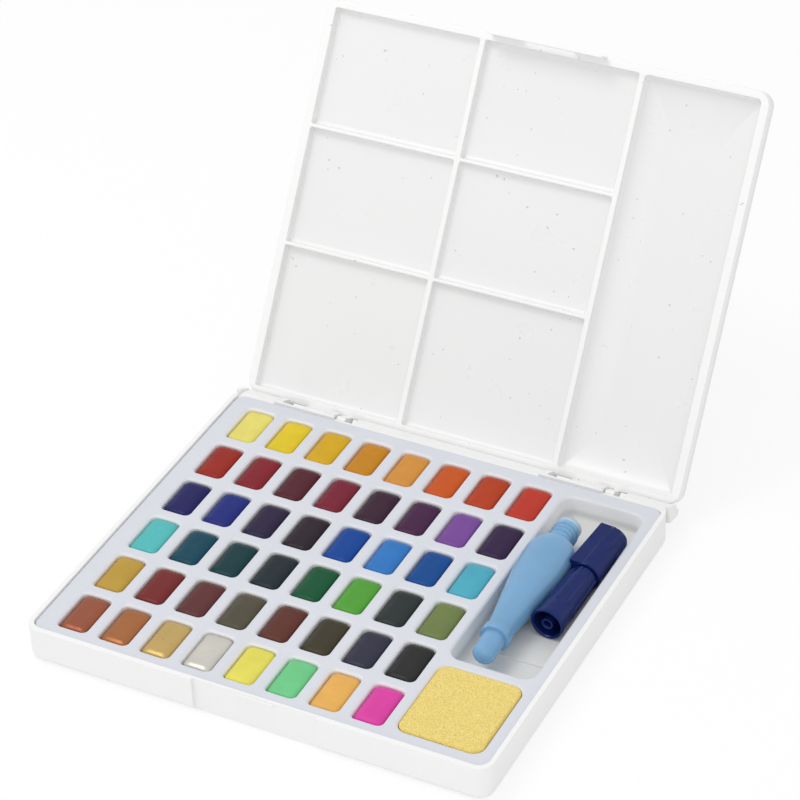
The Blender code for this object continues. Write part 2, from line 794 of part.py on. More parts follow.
def add_ribs(lid, cutters):
    """Two long ribs and two cross ribs that part the seven mixing wells."""
    rib_z = rim_plane_z + rib_drop
    floor_z = rim_plane_z + well_depth
    for name, x in (("long_rib_left", left_rib_x), ("long_rib_right", right_rib_x)):
        rib = block_mesh(name, (x - long_rib_width / 2, cavity_front - overlap, rib_z),
                         (x + long_rib_width / 2, cavity_rear + overlap, floor_z + overlap))
        fuse(lid, name, rib, cutters)
    for name, y in (("cross_rib_hinge", hinge_rib_y), ("cross_rib_front", front_rib_y)):
        rib = block_mesh(name, (cavity_left - overlap, y - cross_rib_width / 2, rib_z + overlap / 4),
                         (right_rib_x, y + cross_rib_width / 2, floor_z + overlap))
        fuse(lid, name, rib, cutters)


def add_latch(lid, cutters):
    """The latch tongue that hangs in the case's front recess, with its snap window."""
    tongue_rear = -case_front + recess_depth - clearance
    x = latch_centre_x
    tongue = block_mesh("latch_tongue",
                        (x - latch_width / 2, tongue_rear - latch_thickness, rim_z - latch_drop),
                        (x + latch_width / 2, tongue_rear, rim_plane_z + overlap))
    fuse(lid, "latch_tongue", tongue, cutters)
    window = block_mesh("latch_window",
                        (x - latch_window_width / 2, tongue_rear - latch_thickness - overrun,
                         rim_z - latch_window_height),
                        (x + latch_window_width / 2, tongue_rear + overlap / 2, rim_z))
    carve(lid, "latch_window", window, cutters)


def add_hinge_arms(lid, number, left, cutters):
    """A wide arm, a narrow arm and the pin between them, through the bored gusset."""
    arm_left = left + gusset_thickness + slot_width + clearance
    arm_right = arm_left + arm_width
    narrow_left = arm_right + bored_gusset_thickness + 2 * clearance
    narrow_right = narrow_left + knuckle_width
    pin = pin_mesh(f"hinge_pin_{number}", pin_radius, arm_right - overlap, narrow_left + overlap)
    for name, low, high in ((f"wide_arm_{number}", arm_left, arm_right),
                            (f"narrow_arm_{number}", narrow_left, narrow_right)):
        fuse(lid, name, profile_mesh(name, arm_points(), low, high), cutters)
    fuse(lid, f"hinge_pin_{number}", pin, cutters)


def main():
    """Build the paint box."""
    clear_scene()
    parts = new_collection("watercolour_paint_box")
    cutters = new_collection("cutters")
    white = paint_material("white_plastic", (0.80, 0.80, 0.80), 0.35)
    white_lid = paint_material("white_lid_plastic", (0.80, 0.80, 0.80), 0.25)
    lilac = paint_material("pale_lilac_plastic", (0.72, 0.74, 0.82), 0.40)
    foam = paint_material("yellow_sponge", (0.82, 0.68, 0.25), 0.95)
    blue = paint_material("pale_blue_plastic", (0.18, 0.42, 0.68), 0.25)
    navy = paint_material("navy_plastic", (0.01, 0.02, 0.12), 0.20)
    hair = paint_material("pale_bristle", (0.75, 0.72, 0.66), 0.60)
    make_base_case(parts, cutters, white)
    make_lid(parts, cutters, white_lid)
    make_insert_tray(parts, cutters, lilac)
    make_cakes(parts)
    make_sponge(parts, foam)
    make_water_tank(parts, blue)
    make_brush(parts, cutters, navy, hair)


main()
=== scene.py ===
import json
import math

import bmesh
import bpy
from mathutils import Matrix, Vector, noise


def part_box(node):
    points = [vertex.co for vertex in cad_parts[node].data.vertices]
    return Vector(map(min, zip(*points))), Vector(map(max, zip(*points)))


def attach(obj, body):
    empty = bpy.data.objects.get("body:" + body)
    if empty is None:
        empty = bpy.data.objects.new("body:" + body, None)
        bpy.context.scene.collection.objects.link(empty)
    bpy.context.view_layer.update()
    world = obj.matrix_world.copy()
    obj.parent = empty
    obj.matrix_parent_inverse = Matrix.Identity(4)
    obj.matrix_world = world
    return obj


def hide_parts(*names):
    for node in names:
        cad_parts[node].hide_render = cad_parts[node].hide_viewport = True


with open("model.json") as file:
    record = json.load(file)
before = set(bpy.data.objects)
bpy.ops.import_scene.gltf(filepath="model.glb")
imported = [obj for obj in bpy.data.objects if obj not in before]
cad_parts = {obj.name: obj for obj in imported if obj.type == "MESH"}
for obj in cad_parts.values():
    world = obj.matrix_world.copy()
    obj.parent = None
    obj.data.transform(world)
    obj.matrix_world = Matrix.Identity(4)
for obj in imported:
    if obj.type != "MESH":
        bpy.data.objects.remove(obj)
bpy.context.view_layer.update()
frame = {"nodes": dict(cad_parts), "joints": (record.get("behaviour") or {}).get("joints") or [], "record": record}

# Watercolour paint box: hinged case, tray with 48 cakes, sponge, water tank, brush and cap.
# Metres, +Z up, +Y towards the hinge. Each piece stands for its CAD node.

scene = bpy.context.scene
joints = {joint["name"]: joint for joint in frame["joints"]}
finishes = {finish["slot"]: finish for finish in frame["record"]["materials"]}
slots = {piece["node"]: piece["material_slot"] for piece in frame["record"]["subparts"]}


# Shader helpers

def startMaterial(name):
    material = bpy.data.materials.new(name)
    material.use_nodes = True
    tree = material.node_tree
    place = tree.nodes.new("ShaderNodeTexCoord")
    return material, tree, tree.nodes["Principled BSDF"], place.outputs["Object"]


def linkInput(tree, socket, value):
    if isinstance(value, bpy.types.NodeSocket):
        tree.links.new(value, socket)
    else:
        socket.default_value = value


def nodeMath(tree, operation, first, second=0.0):
    made = tree.nodes.new("ShaderNodeMath")
    made.operation = operation
    linkInput(tree, made.inputs[0], first)
    linkInput(tree, made.inputs[1], second)
    return made.outputs[0]


def splitPlace(tree, place):
    made = tree.nodes.new("ShaderNodeSeparateXYZ")
    tree.links.new(place, made.inputs[0])
    return made.outputs


def noiseTexture(tree, place, scale, detail):
    made = tree.nodes.new("ShaderNodeTexNoise")
    tree.links.new(place, made.inputs["Vector"])
    made.inputs["Scale"].default_value = scale
    made.inputs["Detail"].default_value = detail
    made.inputs["Roughness"].default_value = 0.55
    return made.outputs["Fac"]


def cellTexture(tree, place, scale):
    made = tree.nodes.new("ShaderNodeTexVoronoi")
    tree.links.new(place, made.inputs["Vector"])
    made.inputs["Scale"].default_value = scale
    return made.outputs["Distance"]


def remap(tree, value, fromLow, fromHigh, toLow, toHigh):
    made = tree.nodes.new("ShaderNodeMapRange")
    linkInput(tree, made.inputs[0], value)
    for socket, number in zip(list(made.inputs)[1:5], (fromLow, fromHigh, toLow, toHigh)):
        socket.default_value = number
    return made.outputs[0]


def mixColour(tree, share, first, second):
    made = tree.nodes.new("ShaderNodeMix")
    made.data_type = "RGBA"
    linkInput(tree, made.inputs[0], share)
    linkInput(tree, made.inputs[6], first)
    linkInput(tree, made.inputs[7], second)
    return made.outputs[2]


def shade(colour, share):
    return (*(channel * share for channel in colour), 1)


def cloudyColour(tree, place, colour, low, high, scale, detail, spread):
    # a colour that drifts between two shares of itself, in soft clouds
    clouds = remap(tree, noiseTexture(tree, place, scale, detail), 0.5 - spread, 0.5 + spread, 0, 1)
    return mixColour(tree, clouds, shade(colour, low), shade(colour, high))


def patchyGloss(tree, shader, place, scale, low, high):
    gloss = remap(tree, noiseTexture(tree, place, scale, 3), 0.3, 0.7, low, high)
    tree.links.new(gloss, shader.inputs["Roughness"])


def addBump(tree, shader, height, distance):
    bump = tree.nodes.new("ShaderNodeBump")
    bump.inputs["Distance"].default_value = distance
    tree.links.new(height, bump.inputs["Height"])
    tree.links.new(bump.outputs["Normal"], shader.inputs["Normal"])


def mouldedPlastic(name, look):
    # faint clouds in the colour, and the fine grain of the mould
    material, tree, shader, place = startMaterial(name)
    tint = cloudyColour(tree, place, look["colour"], 1 - look["wear"], 1, 16, 1, 0.2)
    tree.links.new(tint, shader.inputs["Base Color"])
    patchyGloss(tree, shader, place, 90, look["roughness"] * 0.88, look["roughness"] * 1.12)
    addBump(tree, shader, noiseTexture(tree, place, 1900, 2), look["grain"])
    shader.inputs["Specular IOR Level"].default_value = look["gleam"]
    return material


# Mesh helpers

def roundedLoop(area, radius, steps):
    left, right, front, rear = area
    corners = ((right - radius, rear - radius), (left + radius, rear - radius),
               (left + radius, front + radius), (right - radius, front + radius))
    points = []
    for turn, (x, y) in enumerate(corners):
        for step in range(steps + 1):
            angle = (turn + step / steps) * math.pi / 2
            points.append((x + radius * math.cos(angle), y + radius * math.sin(angle)))
    return points


def joinRings(bm, first, second):
    count = len(first)
    for n in range(count):
        bm.faces.new((first[n], first[(n + 1) % count], second[(n + 1) % count], second[n]))


def ringEdges(bm, ring):
    return [bm.edges.get((ring[n], ring[(n + 1) % len(ring)])) for n in range(len(ring))]


def sinkPocket(bm, area, radius, mouthZ, profile, steps, capped=True):
    # rings go from the mouth in; profile holds (inset along x, inset along y, rise)
    left, right, front, rear = area
    rings = []
    for insetX, insetY, rise in profile:
        around = (left + insetX, right - insetX, front + insetY, rear - insetY)
        bend = max(radius - min(insetX, insetY), 0.0004)
        rings.append([bm.verts.new((x, y, mouthZ + rise)) for x, y in roundedLoop(around, bend, steps)])
    for first, second in zip(rings, rings[1:]):
        joinRings(bm, first, second)
    if capped:
        bm.faces.new(rings[-1])
    return rings


def turnRings(bm, stations, segments, shape=None):
    # rings round the +Y axis; a station is (place, half width, half height)
    rings = []
    for along, wide, high in stations:
        ring = []
        for n in range(segments):
            angle = 2 * math.pi * n / segments
            extra = shape(along, angle) if shape else 0
            ring.append(bm.verts.new(((wide + extra) * math.cos(angle), along,
                                      (high + extra) * math.sin(angle))))
        rings.append(ring)
    for first, second in zip(rings, rings[1:]):
        joinRings(bm, first, second)
    return rings


def evaluatedMesh(piece):
    bpy.context.view_layer.update()
    graph = bpy.context.evaluated_depsgraph_get()
    return bpy.data.meshes.new_from_object(piece.evaluated_get(graph))


def finishedMesh(name, source, modifiers=()):
    # a plain mesh with its modifiers applied: (kind, {setting: value}) in order
    if isinstance(source, bmesh.types.BMesh):
        mesh = bpy.data.meshes.new(name)
        source.to_mesh(mesh)
        source.free()
    else:
        mesh = source
    holder = bpy.data.objects.new(name + "Holder", mesh)
    scene.collection.objects.link(holder)
    for kind, settings in modifiers:
        made = holder.modifiers.new(kind.title(), kind)
        for setting, value in settings.items():
            setattr(made, setting, value)
    result = evaluatedMesh(holder)
    bpy.data.objects.remove(holder, do_unlink=True)
    result.name = name
    return result


def joinedMesh(name, parts, place=None):
    # several meshes as one, moved to their place in the box
    bm = bmesh.new()
    for part in parts:
        bm.from_mesh(part)
    if place is not None:
        bmesh.ops.transform(bm, matrix=place, verts=bm.verts)
    return finishedMesh(name, bm)


def grownMesh(name, tree, values):
    # the plain mesh that a Geometry Nodes tree makes from named values
    holder = bpy.data.objects.new(name + "Holder", bpy.data.meshes.new(name + "Seed"))
    scene.collection.objects.link(holder)
    made = holder.modifiers.new("Form", "NODES")
    made.node_group = tree
    sockets = {s.name: s.identifier for s in tree.interface.items_tree if s.in_out == "INPUT"}
    for label, value in values.items():
        made[sockets[label]] = value
    mesh = evaluatedMesh(holder)
    bpy.data.objects.remove(holder, do_unlink=True)
    return mesh


def startTree(name, labels):
    tree = bpy.data.node_groups.new(name, "GeometryNodeTree")
    tree.interface.new_socket(name="Geometry", in_out="OUTPUT", socket_type="NodeSocketGeometry")
    for label in labels:
        tree.interface.new_socket(name=label, in_out="INPUT", socket_type="NodeSocketFloat")
    tree.interface.new_socket(name="Material", in_out="INPUT", socket_type="NodeSocketMaterial")
    return tree, tree.nodes.new("NodeGroupInput").outputs


def endTree(tree, geometry, material):
    real = tree.nodes.new("GeometryNodeRealizeInstances")
    painted = tree.nodes.new("GeometryNodeSetMaterial")
    out = tree.nodes.new("NodeGroupOutput")
    tree.links.new(geometry, real.inputs[0])
    tree.links.new(real.outputs[0], painted.inputs["Geometry"])
    tree.links.new(material, painted.inputs["Material"])
    tree.links.new(painted.outputs[0], out.inputs[0])


def dressPiece(name, mesh, material, body, node, smoothAngle=38):
    mesh.materials.clear()
    mesh.materials.append(material)
    mesh.shade_smooth()
    mesh.set_sharp_from_angle(angle=math.radians(smoothAngle))
    mesh = finishedMesh(name, mesh, [("WEIGHTED_NORMAL", {"keep_sharp": True, "weight": 80})])
    piece = bpy.data.objects.new(name, mesh)
    scene.collection.objects.link(piece)
    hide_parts(node)
    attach(piece, body)
    return piece


def faceOutwards(bm, upFace=None):
    bmesh.ops.recalc_face_normals(bm, faces=bm.faces)
    if upFace is not None and upFace.normal.z < 0:
        bmesh.ops.reverse_faces(bm, faces=bm.faces)


def cleanCopy(nodeName):
    # the node's own solid with its loose triangles merged into whole faces
    bm = bmesh.new()
    bm.from_mesh(frame["nodes"][nodeName].data)
    bmesh.ops.remove_doubles(bm, verts=bm.verts, dist=0.000002)
    bmesh.ops.dissolve_limit(bm, angle_limit=math.radians(0.8), verts=bm.verts, edges=bm.edges)
    return bm


def roundedCopy(name, bm, width, segments=3):
    bevel = {"width": width, "segments": segments, "limit_method": "ANGLE",
             "angle_limit": math.radians(32), "use_clamp_overlap": True}
    return finishedMesh(name, bm, [("BEVEL", bevel)])


# Case

caseLook = {"colour": (0.86, 0.86, 0.855), "roughness": 0.36, "wear": 0.02, "grain": 0.000006,
            "gleam": 0.5, "edgeRound": 0.00035}
whiteCase = mouldedPlastic("whiteCasePlastic", caseLook)
caseMesh = roundedCopy("caseShell", cleanCopy("base_case"), caseLook["edgeRound"])
dressPiece("caseShell", caseMesh, whiteCase, "case", "base_case")
print("case done")


# Lid, built shut and then turned open about the hinge axis

lidLook = {
    "rim": (0.88, 0.88, 0.875), "floor": (0.815, 0.815, 0.813), "speck": (0.16, 0.15, 0.14),
    "shadeFrom": 0.0026, "shadeTo": 0.0034,  # depth where the rim's white turns to the floor's grey
    "outline": (-0.095, 0.095, -0.0830, 0.0798), "corner": 0.006,
    "rimZ": 0.0153, "topZ": 0.0243, "rimRound": 0.0005, "backRound": 0.0035,
    "inside": (-0.0915, 0.0915, -0.0798, 0.0767), "wellCorner": 0.0009, "deepCorner": 0.0018,
    "columns": (-0.0260, 0.0422), "rows": (0.0172, -0.0315),
    "longRib": 0.0022, "crossRib": 0.0012, "ribDrop": 0.0004, "wellDepth": 0.0035,
    # well sides from the rim in: inset along x, inset along y, and rise
    "lip": [(-0.0003, -0.0003, 0), (-0.00012, -0.00012, 0.00005), (-0.00003, -0.00003, 0.00014),
            (0, 0, 0.0003)],
    "deepSides": [(0.0001, 0.0001, 0.0018), (0.0006, 0.0007, 0.0029), (0.0018, 0.0020, 0.0038),
                  (0.0040, 0.0050, 0.0050), (0.0075, 0.0100, 0.0064), (0.0115, 0.0170, 0.0073),
                  (0.0150, 0.0240, 0.0076)],
    # the same for a shallow well, with the rise as a share of its depth
    "shallowSides": [(0.00006, 0.00008, 0.62), (0.00016, 0.0004, 0.80), (0.00042, 0.0011, 0.92),
                     (0.0009, 0.0022, 0.98), (0.0018, 0.0036, 1)],
    "cutGap": 0.0002, "cutSunk": 0.0007, "hardwareRound": 0.00022,
}
hinge = joints["lid_hinge"]
hingePlace = Vector(hinge["pos_m"])
openAngle = math.radians(hinge["range_deg"][0])
aboutHinge = Matrix.Rotation(openAngle, 4, "X") @ Matrix.Translation(-hingePlace)
turnOpen = Matrix.Translation(hingePlace) @ aboutHinge


def lidPlastic(name, look):
    # satin white on the rims and ribs, a little greyer on the mixing floors: painted shade in the sunken wells
    material, tree, shader, place = startMaterial(name)
    inward = turnOpen.to_3x3() @ Vector((0, 0, 1))
    rim = (turnOpen @ Vector((0, 0, look["rimZ"]))).dot(inward)
    depth = tree.nodes.new("ShaderNodeVectorMath")
    depth.operation = "DOT_PRODUCT"
    tree.links.new(place, depth.inputs[0])
    depth.inputs[1].default_value = inward
    # painted shade: below the rim the floors turn grey
    sunk = remap(tree, depth.outputs["Value"], rim + look["shadeFrom"], rim + look["shadeTo"], 0, 1)
    floor = cloudyColour(tree, place, look["floor"], 0.985, 1, 16, 1, 0.2)
    tint = mixColour(tree, sunk, shade(look["rim"], 1), floor)
    specks = remap(tree, noiseTexture(tree, place, 620, 0), 0.845, 0.86, 0, 0.35)
    tint = mixColour(tree, specks, tint, shade(look["speck"], 1))
    tree.links.new(tint, shader.inputs["Base Color"])
    patchyGloss(tree, shader, place, 90, 0.27, 0.33)
    addBump(tree, shader, noiseTexture(tree, place, 1900, 2), 0.000004)
    return material


def lidWells():
    left, right, front, rear = lidLook["inside"]
    first, second = lidLook["columns"]
    upper, lower = lidLook["rows"]
    halfLong = lidLook["longRib"] / 2
    halfCross = lidLook["crossRib"] / 2
    across = ((left, first - halfLong), (first + halfLong, second - halfLong))
    along = ((upper + halfCross, rear), (lower + halfCross, upper - halfCross), (front, lower - halfCross))
    shallow = [(*spanX, *spanY) for spanX in across for spanY in along]
    return shallow, (second + halfLong, right, front, rear)


def lowerRibs(mouths):
    # the ribs stand a little lower than the rim round them
    left, right, front, rear = lidLook["inside"]
    for rings in mouths:
        for vert in (v for ring in rings[:len(lidLook["lip"])] for v in ring):
            margin = min(vert.co.x - left, right - vert.co.x, vert.co.y - front, rear - vert.co.y)
            share = min(max((margin - 0.0006) / 0.0012, 0), 1)
            vert.co.z += lidLook["ribDrop"] * share


def lidBody():
    bm = bmesh.new()
    rimZ = lidLook["rimZ"]
    shallowSides = [(x, y, share * lidLook["wellDepth"]) for x, y, share in lidLook["shallowSides"]]
    shallow, deep = lidWells()
    mouths = []
    for area in shallow:
        mouths.append(sinkPocket(bm, area, lidLook["wellCorner"], rimZ, lidLook["lip"] + shallowSides, 6))
    deepProfile = lidLook["lip"] + lidLook["deepSides"]
    mouths.append(sinkPocket(bm, deep, lidLook["deepCorner"], rimZ, deepProfile, 6))
    lowerRibs(mouths)
    small, back = lidLook["rimRound"], lidLook["backRound"]
    outer = [(small, small, 0), (small * 0.3, small * 0.3, small * 0.2), (0, 0, small)]
    for step in range(6):
        angle = step / 5 * math.pi / 2
        inset = back * (1 - math.cos(angle))
        outer.append((inset, inset, lidLook["topZ"] - rimZ - back + back * math.sin(angle)))
    outside = sinkPocket(bm, lidLook["outline"], lidLook["corner"], rimZ, outer, 10)
    edges = [e for rings in mouths + [outside] for e in ringEdges(bm, rings[0])]
    bmesh.ops.triangle_fill(bm, use_beauty=True, edges=edges, normal=(0, 0, -1))
    faceOutwards(bm)
    return finishedMesh("lidBody", bm)


def lidHardware():
    # hinge arms, pins and the latch tongue, cut from the lid's own solid and sunk into the body
    kept = []
    gap = lidLook["cutGap"]
    cuts = (((0, lidLook["outline"][3] + gap, 0), Vector((0, -1, 0)), lambda co: co.y > 0),
            ((0, 0, lidLook["rimZ"] - gap), Vector((0, 0, 1)), lambda co: co.y < 0))
    for point, normal, wanted in cuts:
        bm = cleanCopy("lid_palette")
        bmesh.ops.transform(bm, matrix=turnOpen.inverted(), verts=bm.verts)
        geometry = bm.verts[:] + bm.edges[:] + bm.faces[:]
        bmesh.ops.bisect_plane(bm, geom=geometry, plane_co=point, plane_no=normal, clear_outer=True)
        away = [v for v in bm.verts if not wanted(v.co)]
        bmesh.ops.delete(bm, geom=away, context="VERTS")
        bmesh.ops.holes_fill(bm, edges=[e for e in bm.edges if e.is_boundary])
        faceOutwards(bm)
        for vert in bm.verts:
            if abs((vert.co - Vector(point)).dot(normal)) < 0.00001:
                vert.co += normal * lidLook["cutSunk"]
        kept.append(roundedCopy("lidHardware", bm, lidLook["hardwareRound"], 2))
    return kept


whiteLid = lidPlastic("whiteLidPlastic", lidLook)
lidMesh = joinedMesh("lidPalette", [lidBody()] + lidHardware(), turnOpen)
dressPiece("lidPalette", lidMesh, whiteLid, "lid", "lid_palette")
print("lid done")


# Tray with its pans, the brush bay and the sponge pocket

trayLow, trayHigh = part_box("insert_tray")
spongeLow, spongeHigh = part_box("sponge")
trayLook = {
    "top": (0.655, 0.675, 0.73), "wall": (0.92, 0.92, 0.925), "foot": (0.73, 0.73, 0.72),
    "footZ": trayHigh.z - 0.0070, "topZ": trayHigh.z - 0.00006, "wallZ": trayHigh.z - 0.0008,
    "corner": 0.004, "sheet": 0.0008, "lip": 0.0011,
    "panWidth": 0.0126, "panLength": 0.0206, "panCorner": 0.0022, "panDepth": 0.0092,
    "panDraft": 0.0002, "panFoot": 0.0009, "spongeGap": 0.0003, "spongeCorner": 0.0045,
    "bayFront": -0.0321, "bayRear": 0.0717, "bayCorner": 0.005, "bayDepth": 0.0093,
    "bayDraft": 0.0004, "bayFoot": 0.0022,
    "plateSide": 0.0025, "plateEnd": 0.017, "plateRise": 0.0008, "plateCorner": 0.0012,
    # outer edge from the top down, with a bead that closes the gap to the case: insets and rise
    "skirt": [(0.0004, 0.0004, 0), (0.0001, 0.0001, -0.0001), (0, 0, -0.0004), (-0.0002, -0.0002, -0.0008),
              (-0.0002, -0.0002, -0.0012), (0, 0, -0.0016), (0, 0, -0.010)],
}
cakeNodes = sorted(name for name in frame["nodes"] if name.startswith("cake_"))


def trayPlastic(name, look):
    # lilac on top, whiter down in the pans: painted light for the light that bounces in the thin wall, and greyer
    # at their feet: painted shade
    material, tree, shader, place = startMaterial(name)
    z = splitPlace(tree, place)["Z"]
    # painted light: below the lip the pockets turn from lilac to a whiter wall
    height = remap(tree, z, look["wallZ"], look["topZ"], 0, 1)
    top = cloudyColour(tree, place, look["top"], 0.97, 1, 18, 3, 0.15)
    # painted shade: the pockets' walls turn grey low down at their feet
    deep = remap(tree, z, look["footZ"], look["footZ"] + 0.002, 0, 1)
    wall = mixColour(tree, deep, shade(look["foot"], 1), shade(look["wall"], 1))
    tree.links.new(mixColour(tree, height, wall, top), shader.inputs["Base Color"])
    patchyGloss(tree, shader, place, 80, 0.42, 0.52)
    addBump(tree, shader, noiseTexture(tree, place, 2200, 2), 0.000004)
    return material


def pocketProfile(depth, lip, draft, foot):
    # a rolled lip, a leaning wall and a round foot
    profile = []
    for step in range(5):
        angle = step / 4 * math.pi / 2
        flare = -lip * (1 - math.sin(angle))
        profile.append((flare, flare, -lip * (1 - math.cos(angle))))
    profile.append((draft, draft, -(depth - foot)))
    for step in range(1, 4):
        angle = step / 3 * math.pi / 2
        inset = draft + foot * (1 - math.cos(angle))
        profile.append((inset, inset, -(depth - foot) - foot * math.sin(angle)))
    return profile


def traySheet(bay):
    bm = bmesh.new()
    top = trayHigh.z
    mouths = []
    lip = trayLook["lip"]
    panProfile = pocketProfile(trayLook["panDepth"], lip, trayLook["panDraft"], trayLook["panFoot"])
    bayProfile = pocketProfile(trayLook["bayDepth"], lip, trayLook["bayDraft"], trayLook["bayFoot"])
    halfWidth, halfLength = trayLook["panWidth"] / 2, trayLook["panLength"] / 2
    for name in cakeNodes:
        low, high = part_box(name)
        x, y = (low.x + high.x) / 2, (low.y + high.y) / 2
        area = (x - halfWidth, x + halfWidth, y - halfLength, y + halfLength)
        mouths.append(sinkPocket(bm, area, trayLook["panCorner"], top, panProfile, 5)[0])
    mouths.append(sinkPocket(bm, bay, trayLook["bayCorner"], top, bayProfile, 8)[0])
    gap = trayLook["spongeGap"]
    pocket = (spongeLow.x - gap, spongeHigh.x + gap, spongeLow.y - gap, spongeHigh.y + gap)
    mouths.append(sinkPocket(bm, pocket, trayLook["spongeCorner"], top, panProfile, 7)[0])
    around = (trayLow.x, trayHigh.x, trayLow.y, trayHigh.y)
    outside = sinkPocket(bm, around, trayLook["corner"], top, trayLook["skirt"], 6, capped=False)
    edges = [e for ring in mouths + [outside[0]] for e in ringEdges(bm, ring)]
    filled = bmesh.ops.triangle_fill(bm, use_beauty=True, edges=edges, normal=(0, 0, 1))
    upFace = [f for f in filled["geom"] if isinstance(f, bmesh.types.BMFace)][0]
    faceOutwards(bm, upFace)
    sheet = ("SOLIDIFY", {"thickness": trayLook["sheet"], "offset": -1.0, "use_even_offset": False})
    return finishedMesh("traySheet", bm, [sheet])


def bayPlate(bay):
    # the raised middle of the bay's floor
    left, right, front, rear = bay
    side, end, rise = trayLook["plateSide"], trayLook["plateEnd"], trayLook["plateRise"]
    plate = (left + side, right - side, front + end, rear - end)
    profile = [(0.0006, 0.0010, rise), (0.0002, 0.0003, rise * 0.8), (0, 0, -0.0004)]
    bm = bmesh.new()
    rings = sinkPocket(bm, plate, trayLook["plateCorner"], trayHigh.z - trayLook["bayDepth"], profile, 3)
    bm.faces.new(rings[0])
    faceOutwards(bm)
    return finishedMesh("bayPlate", bm)


bayArea = (spongeLow.x - trayLook["spongeGap"], spongeHigh.x + trayLook["spongeGap"],
           trayLook["bayFront"], trayLook["bayRear"])
lilac = trayPlastic("lilacTrayPlastic", trayLook)
trayMesh = joinedMesh("paintTray", [traySheet(bayArea), bayPlate(bayArea)])
dressPiece("paintTray", trayMesh, lilac, "case", "insert_tray")
print("tray done")


# Cakes of paint, one node tree for all of them

cakeLook = {"Width": 0.0119, "Length": 0.0199, "Height": 0.0086, "Crown": 0.0016, "End drop": 0.0008,
            "End reach": 0.0020, "Corner": 0.0018, "Edge": 0.0006, "Dent": 0.00010}
cakeGrid = {"Vertices X": 27, "Vertices Y": 43, "Vertices Z": 7}
paintLooks = {
    "plain": {"flakes": 0.12, "roughness": 0.36, "metallic": 0.0, "gleam": 0.14,
              "grainScale": 700, "grain": 0.00002},
    "metallic": {"flakes": 0.8, "roughness": 0.34, "metallic": 0.5, "gleam": 0.4,
                 "grainScale": 2600, "grain": 0.00004},
}


def pressedPaint(name, colour, look):
    # a pressed cake: faint mottling, fine grain, and flakes in the metallic ones
    material, tree, shader, place = startMaterial(name)
    colour = [max(channel * 0.85 - 0.013, 0.004) for channel in colour]  # without the light it reflects
    tint = cloudyColour(tree, place, colour, 0.93, 1.04, 110, 4, 0.2)
    flakes = remap(tree, noiseTexture(tree, place, 1900, 2), 0.66, 0.74, 0, look["flakes"])
    tint = mixColour(tree, flakes, tint, shade(colour, 1.5))
    tree.links.new(tint, shader.inputs["Base Color"])
    patchyGloss(tree, shader, place, 300, look["roughness"] * 0.8, look["roughness"] * 1.25)
    shader.inputs["Metallic"].default_value = look["metallic"]
    shader.inputs["Specular IOR Level"].default_value = look["gleam"]
    addBump(tree, shader, noiseTexture(tree, place, look["grainScale"], 3), look["grain"])
    return material


